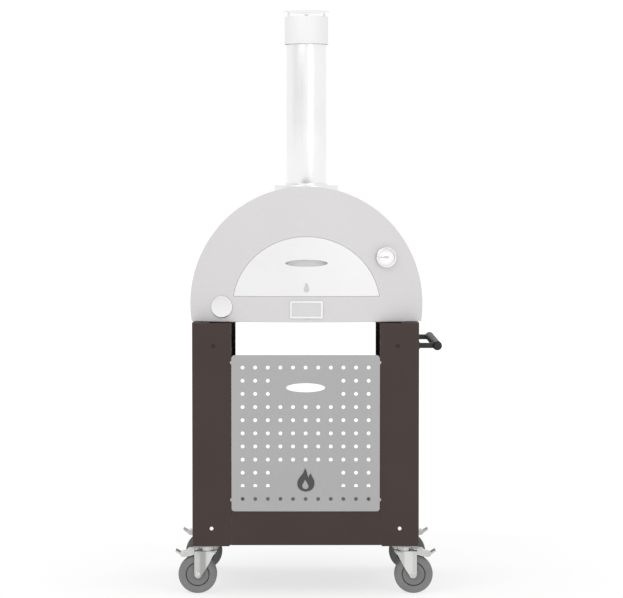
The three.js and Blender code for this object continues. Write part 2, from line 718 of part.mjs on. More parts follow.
{
  const d = DOME;
  piece(
    'oven_base_pan',
    prismZ(dPlan(d.r - 0.5, -262, d.straight, d.rear, 16), CART_TOP + GAP, 719.3)
      .intersect(behind(FRONT.rim + GAP + 0.2, 400)),
    STAINLESS,
  );
  const shell = bullet(d.r, 1, d.zc, -262, d.straight, d.rear, 48, 7)
    .subtract(bullet(d.r - d.sheet, 1, d.zc, -270, d.straight, d.rear - d.sheet, 48, 7))
    .intersect(above(719.6))
    .intersect(behind(FRONT.sheet + 0.5, 400))
    .subtract(flueHole);
  piece('dome_shell', shell, PALE);

  const v = VAULT;
  const k = (t) => (v.b - t) / (v.a - t);
  const vaultOuter = (t, front) => bullet(v.a + t, (v.b + t) / (v.a + t), v.zc, front, v.straight, v.rear + t, 40, 5);
  const blanket = bullet(d.r - d.sheet - 0.8, 1, d.zc, -186, d.straight, d.rear - d.sheet - 0.8, 48, 7)
    .subtract(vaultOuter(0.5, -300))
    .intersect(above(BOARD_Z[1] + GAP))
    .subtract(flueHole);
  piece('insulation_blanket', blanket, WOOL);

  const mouthCut = prismY(arch(DOOR.a + 4, DOOR.b + 4, DOOR.zc, 777, 28), -300, -150);
  const vault = vaultOuter(0, v.front)
    .subtract(bullet(v.a - v.sheet, k(v.sheet), v.zc, v.front + v.sheet, v.straight, v.rear - v.sheet, 40, 5))
    .intersect(above(BOARD_Z[1] + GAP))
    .subtract(mouthCut)
    .subtract(flueHole);
  piece('cooking_vault', vault, STAINLESS);

  const frame = prismY(arch(DOOR.a + 3.6, DOOR.b + 3.6, DOOR.zc, 777.4, 28), -300, -186.5)
    .subtract(prismY(arch(DOOR.a + 0.6, DOOR.b + 0.6, DOOR.zc, 780.4, 28), -310, -100))
    .intersect(behind(FRONT.sheet + 0.5, 0));
  piece('mouth_frame', frame, STAINLESS);

  piece('floor_insulation_board', prismZ(dPlan(289.2, -186, d.straight, d.rear - 6.5, 14), ...BOARD_Z), WOOL);

  const hearth = prismZ(dPlan(v.a - v.sheet - 3.5, -186, v.straight, v.rear - v.sheet - 4, 10), ...TILE_Z);
  piece('hearth_tile_left', hearth.intersect(box(-400, -0.4, -400, 400, 700, 800)), STONE);
  piece('hearth_tile_right', hearth.intersect(box(0.4, 400, -400, 400, 700, 800)), STONE);

  // collar on the crown of the dome
  const c = COLLAR;
  const collar = turnedZ(
    [
      [53.6, 1040], [53.6, 1078], [55.4, 1078], [55.4, c.z], [c.r, c.z], [c.r, 1030], [c.r - 2.5, 1030],
      [c.r - 2.5, c.z - 2.5], [55.4, c.z - 2.5], [55.4, 1040],
    ],
    20,
    true,
  )
    .translate([0, FLUE_Y, 0])
    .subtract(bullet(d.r + 0.5, 1, d.zc, -300, d.straight, d.rear + 0.5, 48, 7));
  piece('flue_collar', collar, STAINLESS);
}

// ----------------------------------------------------------------------- flue
{
  const p = PIPE;
  const pipe = turnedZ([[p.r - p.wall, p.z0], [p.r, p.z0], [p.r, p.z1], [p.r - p.wall, p.z1]], 28, true);
  piece('flue_pipe', pipe, STAINLESS).position.set(0, FLUE_Y, 0);
  const s = SLEEVE;
  const sleeve = turnedZ(
    [
      [s.r - s.wall, s.z0], [s.r, s.z0], [s.r, s.z1], [s.r - s.wall, s.z1], [s.r - s.wall, 1485.5], [53.2, 1485.5],
      [53.2, 1484], [s.r - s.wall, 1484],
    ],
    28,
    true,
  );
  piece('chimney_sleeve', sleeve, STAINLESS).position.set(0, FLUE_Y, 0);
  const d = DISC;
  let disc = turnedZ([[0, d.z0], [d.r - 1, d.z0], [d.r, d.z0 + 1], [d.r, d.z0 + 2.4], [d.r - 2, d.z0 + 3.2], [0, d.z1]], 28);
  for (let i = 0; i < 3; i++) {
    const legPost = box(53.6, 55.8, -5, 5, 1488, d.z0 + 1).rotate([0, 0, 90 + 120 * i]);
    disc = disc.add(legPost);
  }
  piece('rain_disc', disc, STAINLESS).position.set(0, FLUE_Y, 0);
}

// ---------------------------------------------------------- place the assembly
const bounds = new THREE.Box3().setFromObject(assembly, true);
const group = new THREE.Group();
assembly.position.set(-(bounds.min.x + bounds.max.x) / 2, -(bounds.min.y + bounds.max.y) / 2, -bounds.min.z);
group.add(assembly);

export default group;
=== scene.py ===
import math

import bmesh
import bpy
import numpy as np
from mathutils import Matrix, Vector
from mathutils.geometry import tessellate_polygon


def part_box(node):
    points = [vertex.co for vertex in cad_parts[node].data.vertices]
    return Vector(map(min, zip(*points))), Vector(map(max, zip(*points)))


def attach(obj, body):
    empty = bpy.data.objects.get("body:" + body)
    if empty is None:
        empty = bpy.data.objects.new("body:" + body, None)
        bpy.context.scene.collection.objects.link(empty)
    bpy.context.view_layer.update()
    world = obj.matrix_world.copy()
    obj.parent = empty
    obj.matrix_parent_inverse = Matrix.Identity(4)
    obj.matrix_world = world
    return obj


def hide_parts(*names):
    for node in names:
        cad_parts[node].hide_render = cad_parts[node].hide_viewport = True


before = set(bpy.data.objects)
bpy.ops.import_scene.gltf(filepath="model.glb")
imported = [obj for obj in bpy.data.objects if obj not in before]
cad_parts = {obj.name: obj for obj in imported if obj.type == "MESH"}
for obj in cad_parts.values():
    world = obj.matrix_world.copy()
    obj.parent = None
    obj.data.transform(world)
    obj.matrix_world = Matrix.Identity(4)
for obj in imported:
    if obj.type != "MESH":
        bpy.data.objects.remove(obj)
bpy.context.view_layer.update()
scene = bpy.context.scene

# ------------------------------------------------------------------ placement
# Shapes are written in millimetres about the cart's own middle, and moved to
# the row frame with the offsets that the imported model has.
_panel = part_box("perforated_panel")
_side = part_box("left_side_panel")
SX = (_panel[0].x + _panel[1].x) / 2
SY = (_side[0].y + _side[1].y) / 2
SZ = _panel[0].z - 0.225
TO_ROW = Matrix.Translation((SX, SY, SZ)) @ Matrix.Scale(0.001, 4)
CART = Matrix.Identity(4)
OVEN = Matrix.Translation((2.2, 0, 0))  # the oven stands a little off the cart's middle
origin = CART  # what new_object measures from


def row(x, y, z):
    return TO_ROW @ Vector((x, y, z))


# --------------------------------------------------------------------- camera
F_PX = 2385.0
cam_data = bpy.data.cameras.new("camera")
cam_data.sensor_width = 36.0
cam_data.lens = F_PX / 623.0 * 36.0
cam_data.clip_end = 100.0
cam = bpy.data.objects.new("camera", cam_data)
scene.collection.objects.link(cam)
cam.location = row(0, -255 - 6180, 1061)
cam.rotation_euler = (math.radians(90 - 2.62), 0, math.radians(-0.142))
scene.camera = cam

# --------------------------------------------------------------- mesh helpers


def new_object(name, verts, faces, material, sharp=32, weighted=False, matrix=None):
    mesh = bpy.data.meshes.new(name)
    v = np.asarray(verts, float)
    m = TO_ROW @ origin @ (matrix if matrix is not None else Matrix.Identity(4))
    a = np.array(m)
    v = v @ a[:3, :3].T + a[:3, 3]
    mesh.from_pydata([tuple(p) for p in v], [], [tuple(f) for f in faces])
    mesh.validate()
    obj = bpy.data.objects.new(name, mesh)
    scene.collection.objects.link(obj)
    finish_mesh(obj, material, sharp, weighted)
    return obj


def finish_mesh(obj, material, sharp=32, weighted=False):
    mesh = obj.data
    bm = bmesh.new()
    bm.from_mesh(mesh)
    bmesh.ops.remove_doubles(bm, verts=bm.verts, dist=2e-7)
    bmesh.ops.recalc_face_normals(bm, faces=bm.faces)
    bm.to_mesh(mesh)
    bm.free()
    mesh.shade_smooth()
    mesh.set_sharp_from_angle(angle=math.radians(sharp))
    mesh.materials.clear()
    mesh.materials.append(material)
    if weighted:
        mod = obj.modifiers.new("weighted", "WEIGHTED_NORMAL")
        mod.keep_sharp = True
        mod.weight = 60


def place(obj, body, replaces=()):
    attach(obj, body)
    if replaces:
        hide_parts(*([replaces] if isinstance(replaces, str) else replaces))
    return obj


def arc(cx, cy, a, b, t0, t1, n):
    return [
        (cx + a * math.cos(t0 + (t1 - t0) * i / n), cy + b * math.sin(t0 + (t1 - t0) * i / n))
        for i in range(n + 1)
    ]


def loop_ring(cx, cy, a, b, n, phase=0.0):
    return arc(cx, cy, a, b, phase, phase + 2 * math.pi, n)[:-1]


def area2(pts):
    return sum(
        pts[i][0] * pts[(i + 1) % len(pts)][1] - pts[(i + 1) % len(pts)][0] * pts[i][1]
        for i in range(len(pts))
    )


def round_poly(pts, radii, n=4, closed=True):
    """Corners of a polyline turned into arcs. radii is one number or one per point."""
    count = len(pts)
    if not hasattr(radii, "__len__"):
        radii = [radii] * count
    out = []
    for i in range(count):
        p = Vector(pts[i])
        if not closed and i in (0, count - 1):
            out.append(tuple(p))
            continue
        a, b = Vector(pts[i - 1]), Vector(pts[(i + 1) % count])
        u, w = (a - p), (b - p)
        lu, lw = u.length, w.length
        if radii[i] <= 0 or lu < 1e-6 or lw < 1e-6:
            out.append(tuple(p))
            continue
        u.normalize()
        w.normalize()
        cosang = max(-1.0, min(1.0, u.dot(w)))
        ang = math.acos(cosang)
        if ang > math.radians(176) or ang < 1e-3:
            out.append(tuple(p))
            continue
        cut = min(radii[i] / math.tan(ang / 2), lu * 0.48, lw * 0.48)
        r = cut * math.tan(ang / 2)
        c = p + (u + w).normalized() * (r / math.sin(ang / 2))
        s, e = p + u * cut - c, p + w * cut - c
        t0 = math.atan2(s.y, s.x)
        d = math.atan2(e.y, e.x) - t0
        while d > math.pi:
            d -= 2 * math.pi
        while d < -math.pi:
            d += 2 * math.pi
        for k in range(n + 1):
            t = t0 + d * k / n
            out.append((c.x + r * math.cos(t), c.y + r * math.sin(t)))
    return out


def offset_loop(pts, d):
    """Loop moved by d to its left, by mitred vertex normals."""
    n = len(pts)
    out = []
    for i in range(n):
        p0, p1, p2 = (Vector(pts[i - 1]), Vector(pts[i]), Vector(pts[(i + 1) % n]))
        e0, e1 = (p1 - p0), (p2 - p1)
        if e0.length < 1e-9:
            e0 = e1.copy()
        if e1.length < 1e-9:
            e1 = e0.copy()
        n0 = Vector((-e0.y, e0.x)).normalized()
        n1 = Vector((-e1.y, e1.x)).normalized()
        m = n0 + n1
        if m.length < 1e-6:
            m = n0
        m.normalize()
        k = max(0.35, m.dot(n0))
        q = p1 + m * (d / k)
        out.append((q.x, q.y))
    return out


AXES = {
    "Z": lambda a, b, h: (a, b, h),  # outline (x, y), height z
    "Y": lambda a, b, h: (a, h, b),  # outline (x, z), depth y
    "X": lambda a, b, h: (h, a, b),  # outline (y, z), length x
}


def plate(outline, holes, lo, hi, axis="Y", bevel=0.4, steps=2):
    """Verts and faces of a plate with softened edges, from an outline with holes."""
    put = AXES[axis]
    loops = []
    for i, lp in enumerate([outline, *holes]):
        lp = list(lp)
        if (area2(lp) > 0) != (i == 0):
            lp.reverse()
        loops.append(lp)
    # each level is (height, inset)
    levels = []
    for k in range(steps + 1):
        t = math.pi / 2 * k / steps
        levels.append((lo + bevel * (1 - math.sin(t)), bevel * (1 - math.cos(t))))
    levels.reverse()
    top = [(hi - (h - lo), o) for h, o in levels]
    levels = levels + top[::-1] if bevel > 0 else [(lo, 0), (hi, 0)]
    if bevel <= 0:
        levels = [(lo, 0), (hi, 0)]
    verts, faces, idx = [], [], []
    for lp in loops:
        rings = []
        for h, o in levels:
            shifted = offset_loop(lp, o) if o > 1e-9 else lp
            start = len(verts)
            verts.extend(put(x, y, h) for x, y in shifted)
            rings.append(range(start, start + len(lp)))
        n = len(lp)
        for r0, r1 in zip(rings, rings[1:]):
            for i in range(n):
                j = (i + 1) % n
                faces.append((r0[i], r0[j], r1[j], r1[i]))
        idx.append(rings)
    for level in (0, -1):
        flat, mapping = [], []
        for rings in idx:
            flat.append([Vector((*_flat(verts[k], axis), 0)) for k in rings[level]])
            mapping.extend(rings[level])
        for tri in tessellate_polygon(flat):
            faces.append(tuple(mapping[k] for k in tri))
    return verts, faces


def _flat(v, axis):
    return {"Z": (v[0], v[1]), "Y": (v[0], v[2]), "X": (v[1], v[2])}[axis]


def lathe(profile, n=96, axis="Z", closed=False):
    """Verts and faces of a profile (radius, height) turned about an axis through the origin."""
    verts, rings = [], []
    for r, h in profile:
        if r < 1e-6:
            rings.append([len(verts)] * n)
            verts.append((0.0, 0.0, h))
        else:
            rings.append(list(range(len(verts), len(verts) + n)))
            for i in range(n):
                t = 2 * math.pi * i / n
                verts.append((r * math.cos(t), r * math.sin(t), h))
    faces = []
    pairs = list(zip(rings, rings[1:])) + ([(rings[-1], rings[0])] if closed else [])
    for a, b in pairs:
        for i in range(n):
            j = (i + 1) % n
            q = []
            for k in (a[i], a[j], b[j], b[i]):
                if k not in q:
                    q.append(k)
            if len(q) > 2:
                faces.append(tuple(q))
    turn = {"Z": lambda p: p, "Y": lambda p: (p[0], p[2], -p[1]), "X": lambda p: (p[2], p[1], -p[0])}[axis]
    return [turn(p) for p in verts], faces


def merge_parts(*parts):
    verts, faces = [], []
    for v, f in parts:
        k = len(verts)
        verts.extend(v)
        faces.extend(tuple(i + k for i in face) for face in f)
    return verts, faces


def moved(part, dx=0, dy=0, dz=0, rot=None):
    v, f = part
    m = Matrix.Translation((dx, dy, dz)) @ (rot or Matrix.Identity(4))
    return [tuple(m @ Vector(p)) for p in v], f


def boolean_cut(obj, parts):
    """Cuts closed solids (verts, faces in millimetres) out of obj."""
    for i, (v, f) in enumerate(parts):
        cutter = new_object(f"cutter_{i}", v, f, obj.data.materials[0])
        mod = obj.modifiers.new("cut", "BOOLEAN")
        mod.operation = "DIFFERENCE"
        mod.solver = "EXACT"
        mod.object = cutter
        dg = bpy.context.evaluated_depsgraph_get()
        mesh = bpy.data.meshes.new_from_object(obj.evaluated_get(dg))
        obj.modifiers.remove(mod)
        old = obj.data
        obj.data = mesh
        bpy.data.meshes.remove(old)
        cm = cutter.data
        bpy.data.objects.remove(cutter)
        bpy.data.meshes.remove(cm)


def refined(node, material, body, bevel=0.4, segments=2, angle=28, sharp=32, name=None):
    """A copy of a CAD node with its flat faces cleaned and its edges softened."""
    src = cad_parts[node]
    mesh = src.data.copy()
    mesh.name = node + "_look"
    obj = bpy.data.objects.new(name or node + "_look", mesh)
    scene.collection.objects.link(obj)
    bm = bmesh.new()
    bm.from_mesh(mesh)
    bmesh.ops.remove_doubles(bm, verts=bm.verts, dist=2e-6)
    bmesh.ops.dissolve_limit(bm, angle_limit=math.radians(0.6), verts=bm.verts, edges=bm.edges)
    edges = [e for e in bm.edges if len(e.link_faces) == 2 and e.calc_face_angle(0) > math.radians(angle)]
    if bevel > 0:
        bmesh.ops.bevel(
            bm,
            geom=edges,
            offset=bevel / 1000,
            offset_type="OFFSET",
            segments=segments,
            profile=0.5,
            affect="EDGES",
            clamp_overlap=True,
        )
    bm.to_mesh(mesh)
    bm.free()
    finish_mesh(obj, material, sharp, weighted=True)
    return place(obj, body, node)


# ------------------------------------------------------------------ materials


class Mat:
    """Small helper for procedural materials."""

    def __init__(self, name):
        self.m = bpy.data.materials.new(name)
        self.m.use_nodes = True
        self.nt = self.m.node_tree
        self.bsdf = self.nt.nodes["Principled BSDF"]

    def node(self, kind, **values):
        n = self.nt.nodes.new(kind)
        for k, v in values.items():
            if k in n.inputs:
                n.inputs[k].default_value = v
            else:
                setattr(n, k, v)
        return n

    def link(self, a, b):
        self.nt.links.new(a, b)

    def coords(self, scale=(1, 1, 1), space="Object"):
        tc = self.node("ShaderNodeTexCoord")
        mp = self.node("ShaderNodeMapping")
        mp.inputs["Scale"].default_value = scale
        self.link(tc.outputs[space], mp.inputs["Vector"])
        return mp.outputs["Vector"]

    def noise(self, scale, detail=3.0, rough=0.5, stretch=(1, 1, 1)):
        n = self.node("ShaderNodeTexNoise")
        n.inputs["Scale"].default_value = scale
        n.inputs["Detail"].default_value = detail
        n.inputs["Roughness"].default_value = rough
        self.link(self.coords(stretch), n.inputs["Vector"])
        return n.outputs["Fac"]

    def span(self, value, lo, hi, a, b):
        r = self.node("ShaderNodeMapRange")
        r.inputs["From Min"].default_value = lo
        r.inputs["From Max"].default_value = hi
        r.inputs["To Min"].default_value = a
        r.inputs["To Max"].default_value = b
        self.link(value, r.inputs["Value"])
        return r.outputs["Result"]

    def ramp(self, value, stops):
        r = self.node("ShaderNodeValToRGB")
        el = r.color_ramp.elements
        while len(el) < len(stops):
            el.new(0.5)
        for e, (pos, col) in zip(el, stops):
            e.position = pos
            e.color = (*col, 1)
        self.link(value, r.inputs["Fac"])
        return r.outputs["Color"]

    def bump(self, height, strength, distance, normal=None):
        b = self.node("ShaderNodeBump")
        b.inputs["Strength"].default_value = strength
        b.inputs["Distance"].default_value = distance
        self.link(height, b.inputs["Height"])
        if normal is not None:
            self.link(normal, b.inputs["Normal"])
        return b.outputs["Normal"]

    def set(self, **values):
        for k, v in values.items():
            self.bsdf.inputs[k.replace("_", " ")].default_value = v


def lin(r, g, b):
    return tuple(((c / 255) / 12.92 if c / 255 <= 0.04045 else ((c / 255 + 0.055) / 1.055) ** 2.4) for c in (r, g, b))


def scaled(c, k):
    return tuple(min(1.0, x * k) for x in c)


def powder_coat(name, colour, rough=0.5, vary=0.04, peel=0.12, coat=0.0, specular=0.5, mottle=7.0):
    """Baked powder paint: faint mottling, orange peel and fine speckle."""
    m = Mat(name)
    big = m.noise(mottle, 4, 0.6)
    fine = m.noise(420, 2, 0.5)
    col = m.ramp(big, [(0.3, scaled(colour, 1 - vary)), (0.7, scaled(colour, 1 + vary))])
    mix = m.node("ShaderNodeMix", data_type="RGBA")
    mix.inputs["Factor"].default_value = 0.12
    m.link(col, mix.inputs[6])
    m.link(m.ramp(fine, [(0.35, scaled(colour, 0.8)), (0.65, scaled(colour, 1.2))]), mix.inputs[7])
    m.link(mix.outputs[2], m.bsdf.inputs["Base Color"])
    m.link(m.span(m.noise(60, 3, 0.6), 0.3, 0.7, rough - 0.05, rough + 0.05), m.bsdf.inputs["Roughness"])
    n = m.bump(m.noise(650, 2, 0.5), peel, 0.00025)
    m.link(n, m.bsdf.inputs["Normal"])
    m.bsdf.inputs["Specular IOR Level"].default_value = specular
    m.bsdf.inputs["Coat Weight"].default_value = coat
    return m.m


def brushed(name, colour, rough=0.3, metallic=1.0, along=(1, 1, 1), streak=0.05, scale=220, bump=0.06, smudge=0.03):
    """Brushed sheet: long streaks along one direction, faint handling marks."""
    m = Mat(name)
    lines = m.noise(scale, 3, 0.6, along)
    cloud = m.noise(9, 4, 0.55)
    col = m.ramp(lines, [(0.3, scaled(colour, 1 - streak)), (0.7, scaled(colour, 1 + streak * 0.5))])
    mix = m.node("ShaderNodeMix", data_type="RGBA")
    mix.blend_type = "MULTIPLY"
    mix.inputs["Factor"].default_value = 1.0
    m.link(col, mix.inputs[6])
    m.link(m.ramp(cloud, [(0.3, (1 - smudge,) * 3), (0.7, (1.0,) * 3)]), mix.inputs[7])
    m.link(mix.outputs[2], m.bsdf.inputs["Base Color"])
    add = m.node("ShaderNodeMath", operation="ADD")
    m.link(m.span(lines, 0.3, 0.7, rough - 0.06, rough + 0.06), add.inputs[0])
    m.link(m.span(cloud, 0.3, 0.7, -0.03, 0.05), add.inputs[1])
    m.link(add.outputs[0], m.bsdf.inputs["Roughness"])
    m.link(m.bump(lines, bump, 0.0001), m.bsdf.inputs["Normal"])
    m.bsdf.inputs["Metallic"].default_value = metallic
    return m.m


def zinc_plate(name, colour, rough=0.32):
    """Zinc-plated pressing: soft spangle and a few dull patches."""
    m = Mat(name)
    v = m.node("ShaderNodeTexVoronoi")
    v.inputs["Scale"].default_value = 260
    m.link(m.coords(), v.inputs["Vector"])
    cloud = m.noise(45, 4, 0.6)
    col = m.ramp(v.outputs["Color"], [(0.2, scaled(colour, 0.93)), (0.8, scaled(colour, 1.05))])
    mix = m.node("ShaderNodeMix", data_type="RGBA")
    mix.blend_type = "MULTIPLY"
    mix.inputs["Factor"].default_value = 1.0
    m.link(col, mix.inputs[6])
    m.link(m.ramp(cloud, [(0.3, (0.9, 0.9, 0.88)), (0.65, (1.0, 1.0, 1.0))]), mix.inputs[7])
    m.link(mix.outputs[2], m.bsdf.inputs["Base Color"])
    m.link(m.span(cloud, 0.3, 0.7, rough + 0.1, rough - 0.06), m.bsdf.inputs["Roughness"])
    m.link(m.bump(m.noise(300, 3, 0.6), 0.08, 0.0002), m.bsdf.inputs["Normal"])
    m.bsdf.inputs["Metallic"].default_value = 0.9
    return m.m


def banded_zinc_painted_light(name, colour, centre, stops, rough=0.34):
    """Zinc-plated pressing with painted light and shade: lighter and darker bands across X stand in for how the light
    falls on the upright flutes.

    centre is the swivel axis in the row frame, stops are (millimetres, factor)."""
    m = Mat(name)
    cloud = m.noise(45, 4, 0.6)
    axis = m.node("ShaderNodeSeparateXYZ")
    tc = m.node("ShaderNodeTexCoord")
    m.link(tc.outputs["Object"], axis.inputs[0])
    across = m.span(axis.outputs["X"], centre - 0.04, centre + 0.04, 0.0, 1.0)
    painted_light_band = m.ramp(across, [((d + 40) / 80, (k, k, k)) for d, k in stops])
    grain = m.ramp(m.noise(300, 3, 0.6), [(0.3, scaled(colour, 0.97)), (0.7, scaled(colour, 1.03))])
    mix = m.node("ShaderNodeMix", data_type="RGBA")
    mix.blend_type = "MULTIPLY"
    mix.inputs["Factor"].default_value = 1.0
    m.link(grain, mix.inputs[6])
    m.link(painted_light_band, mix.inputs[7])
    m.link(mix.outputs[2], m.bsdf.inputs["Base Color"])
    m.link(m.span(cloud, 0.3, 0.7, rough + 0.08, rough - 0.05), m.bsdf.inputs["Roughness"])
    m.link(m.bump(m.noise(300, 3, 0.6), 0.06, 0.0002), m.bsdf.inputs["Normal"])
    m.bsdf.inputs["Metallic"].default_value = 0.9
    return m.m


def moulded(name, colour, rough=0.6, grain=500, bump=0.15, vary=0.06, dust=None, specular=0.4):
    """Moulded plastic or rubber with a fine skin."""
    m = Mat(name)
    cloud = m.noise(30, 4, 0.6)
    stops = [(0.3, scaled(colour, 1 - vary)), (0.7, scaled(colour, 1 + vary))]
    col = m.ramp(cloud, stops)
    if dust is not None:
        mix = m.node("ShaderNodeMix", data_type="RGBA")
        m.link(m.span(m.noise(140, 5, 0.7), 0.55, 0.8, 0.0, 0.35), mix.inputs["Factor"])
        m.link(col, mix.inputs[6])
        mix.inputs[7].default_value = (*dust, 1)
        col = mix.outputs[2]
    m.link(col, m.bsdf.inputs["Base Color"])
    m.link(m.span(m.noise(90, 3, 0.6), 0.3, 0.7, rough - 0.06, rough + 0.06), m.bsdf.inputs["Roughness"])
    m.link(m.bump(m.noise(grain, 3, 0.6), bump, 0.0003), m.bsdf.inputs["Normal"])
    m.bsdf.inputs["Specular IOR Level"].default_value = specular
    return m.m


def stone(name, colour):
    m = Mat(name)
    a = m.noise(60, 6, 0.65)
    col = m.ramp(a, [(0.25, scaled(colour, 0.72)), (0.5, colour), (0.8, scaled(colour, 1.15))])
    m.link(col, m.bsdf.inputs["Base Color"])
    m.set(Roughness=0.92)
    m.link(m.bump(m.noise(260, 6, 0.7), 0.5, 0.0006), m.bsdf.inputs["Normal"])
    return m.m


BROWN_C = (0.043, 0.0275, 0.0245)
PALE_C = lin(203, 201, 202)
PANEL_C = lin(163, 163, 163)
MAT = {
    "brown": powder_coat("brown_powder_coat", BROWN_C, rough=0.5, vary=0.05, specular=0.3),
    "pale": powder_coat("pale_powder_coat", PALE_C, rough=0.5, vary=0.012, peel=0.08),
    "panel": powder_coat("grey_powder_coat", PANEL_C, rough=0.45, vary=0.02),
    "steel": brushed("brushed_stainless", (0.86, 0.86, 0.86), 0.3, 1.0, (1, 1, 60), scale=30),
    "pipe": brushed("polished_flue_steel", (0.88, 0.88, 0.88), 0.2, 0.75, (60, 60, 1), scale=30, bump=0.03),
    "vault": brushed("vault_steel", (0.62, 0.61, 0.6), 0.45, 1.0, (1, 1, 40), scale=30, smudge=0.2),
    "zinc": zinc_plate("zinc_plate", (0.62, 0.62, 0.61)),
    "tyre": moulded("grey_rubber", lin(122, 122, 122), 0.75, vary=0.05, dust=lin(150, 149, 146)),
    # darker copy of the grey rubber for the rear tyres: painted shade for the cart's shadow they stand in
    "tyre_rear_painted_shade": moulded("rear_rubber_painted_shade", lin(90, 90, 91), 0.7, vary=0.06, dust=lin(112, 111, 110)),
    "hub": moulded("grey_hub_plastic", lin(118, 118, 118), 0.6, vary=0.04),
    "sleeve": brushed("satin_sleeve_steel", (0.785, 0.785, 0.785), 0.6, 0.25, (60, 60, 1), scale=30, bump=0.02, streak=0.02, smudge=0.01),
    "door": brushed("satin_door_steel", (0.785, 0.785, 0.785), 0.5, 0.45, (1, 1, 60), scale=30, bump=0.03, streak=0.03),
    "disc": powder_coat("satin_disc_steel", (0.72, 0.72, 0.72), rough=0.5, vary=0.02, peel=0.05),
    "disc_under_painted_glow": powder_coat("disc_underside_painted_glow", (0.35, 0.35, 0.35), rough=0.6, vary=0.01, peel=0.04),
    # darker copy of the zinc: painted shade for the castor plates under the cart
    "zinc_painted_shade": zinc_plate("zinc_plate_painted_shade", (0.40, 0.40, 0.39), 0.45),
    "bright": brushed("bright_screw_steel", (0.97, 0.96, 0.96), 0.35, 0.6, (1, 1, 1), scale=90, streak=0.02),
    "brown_dark": powder_coat("screw_powder_coat", (0.026, 0.017, 0.015), rough=0.5, vary=0.05, specular=0.25),
    "plate_field": powder_coat("plate_enamel", lin(204, 203, 204), rough=0.5, vary=0.01),
    "drop": powder_coat("drop_enamel", lin(198, 198, 198), rough=0.6, vary=0.02),
    "grip": moulded("black_grip_rubber", (0.014, 0.014, 0.0145), 0.5, grain=800, bump=0.25, vary=0.15),
    "black": powder_coat("black_powder_coat", (0.012, 0.012, 0.012), rough=0.45, vary=0.1),
    "mark": powder_coat("dark_mark_paint", lin(64, 64, 66), rough=0.5),
    "stone": stone("fireclay_tile", (0.62, 0.51, 0.37)),
    "wool": stone("mineral_wool", (0.7, 0.66, 0.56)),
    "dial": moulded("dial_enamel", lin(254, 252, 251), 0.45, vary=0.01, bump=0.03),
    "pointer": moulded("pointer_grey", lin(188, 186, 186), 0.5),
    "pedal": moulded("grey_pedal_coating", lin(150, 150, 152), 0.5),
    # lighter copy of the pedal coating for the rear castors: painted light
    "pedal_rear_painted_light": moulded("rear_pedal_coating_painted_light", lin(182, 182, 184), 0.5),
    "recess": powder_coat("recess_enamel", lin(217, 217, 217), rough=0.6, vary=0.02),
}

# the rain disc's underside glows evenly: painted light, not a lamp
glow_shader = next(n for n in MAT["disc_under_painted_glow"].node_tree.nodes if n.type == "BSDF_PRINCIPLED")
glow_shader.inputs["Emission Color"].default_value = (1.0, 1.0, 1.0, 1.0)
glow_shader.inputs["Emission Strength"].default_value = 0.74


def glass(name):
    """Thin clear pane: only a faint sheen of its own."""
    m = Mat(name)
    m.set(Roughness=0.05, IOR=1.45, Alpha=0.1)
    haze = m.ramp(m.noise(40, 3, 0.5), [(0.3, (0.93, 0.93, 0.93)), (0.7, (1.0, 1.0, 1.0))])
    m.link(haze, m.bsdf.inputs["Base Color"])
    m.link(m.bump(m.noise(15, 2, 0.5), 0.01, 0.0002), m.bsdf.inputs["Normal"])
    return m.m


MAT["glass"] = glass("gauge_glass")

# ----------------------------------------------------------------- cart looks
SHEET = 2.5
for node in ("left_side_panel", "right_side_panel", "storage_shelf", "front_apron", "rear_apron"):
    refined(node, MAT["brown"], "cart", bevel=0.15)

# ----------------------------------------------------------- perforated panel
W = 192.8


def lug(side, up):
    zs = (255, 613) if up else (613, 255)
    out = []
    for z in zs:
        d = 1 if up else -1
        out += [(side * W, z - d * 4.4), *((side * (W + 3.6), z + d * k) for k in (-3, 3)), (side * W, z + d * 4.4)]
    return out


outline = [
    *arc(W - 8, 233, 8, 8, -math.pi / 2, 0, 8),
    *lug(1, True),
    *arc(W - 10, 622.6, 10, 10, 0, math.pi / 2, 8),
    *arc(-W + 10, 622.6, 10, 10, math.pi / 2, math.pi, 8),
    *lug(-1, False),
    *arc(-W + 8, 233, 8, 8, math.pi, 1.5 * math.pi, 8),
]
holes = []
for r in range(11):
    for c in range(11):
        if 3 <= c <= 7 and r in (1, 2, 8, 9):
            continue
        holes.append(loop_ring((c - 5) * 32.76, 600 - r * 34.27, 5, 5, 20))
holes.append(loop_ring(0, 547.5, 50.6, 11.8, 64))
v, f = plate(outline, holes, -257.7, -255.5, "Y", bevel=0.3, steps=2)
place(new_object("perforated_panel_look", v, f, MAT["panel"], 40, weighted=True), "front_panel", "perforated_panel")

place(refined("panel_badge", MAT["mark"], "front_panel", bevel=0.15), "front_panel")

# --------------------------------------------------------------- oven front
origin = OVEN
BOW_R, BOW_Y = 862.0, -260.0
BOW_C = BOW_Y + BOW_R


def bow(x, d=0.0):
    r = BOW_R - d
    return BOW_C - math.sqrt(r * r - x * x)


def arch_loop(a, b, zc, z0, n_arch, n_base):
    """Arch from its right foot over the top to the left foot, then along the base."""
    s = math.asin((z0 - zc) / b)
    pts = arc(0, zc, a, b, s, math.pi - s, n_arch)
    x0, x1 = pts[-1][0], pts[0][0]
    for i in range(1, n_base):
        pts.append((x0 + (x1 - x0) * i / n_base, z0))
    return pts


def swept(sections):
    """Closed skin through equal loops of points; the last section joins the first."""
    verts, faces = [], []
    n = len(sections[0])
    for s in sections:
        verts.extend(s)
    m = len(sections)
    for k in range(m):
        a, b = k * n, ((k + 1) % m) * n
        for i in range(n):
            j = (i + 1) % n
            faces.append((a + i, a + j, b + j, b + i))
    return verts, faces


def bowed_loop(pts, d):
    return [(x, bow(x, d), z) for x, z in pts]


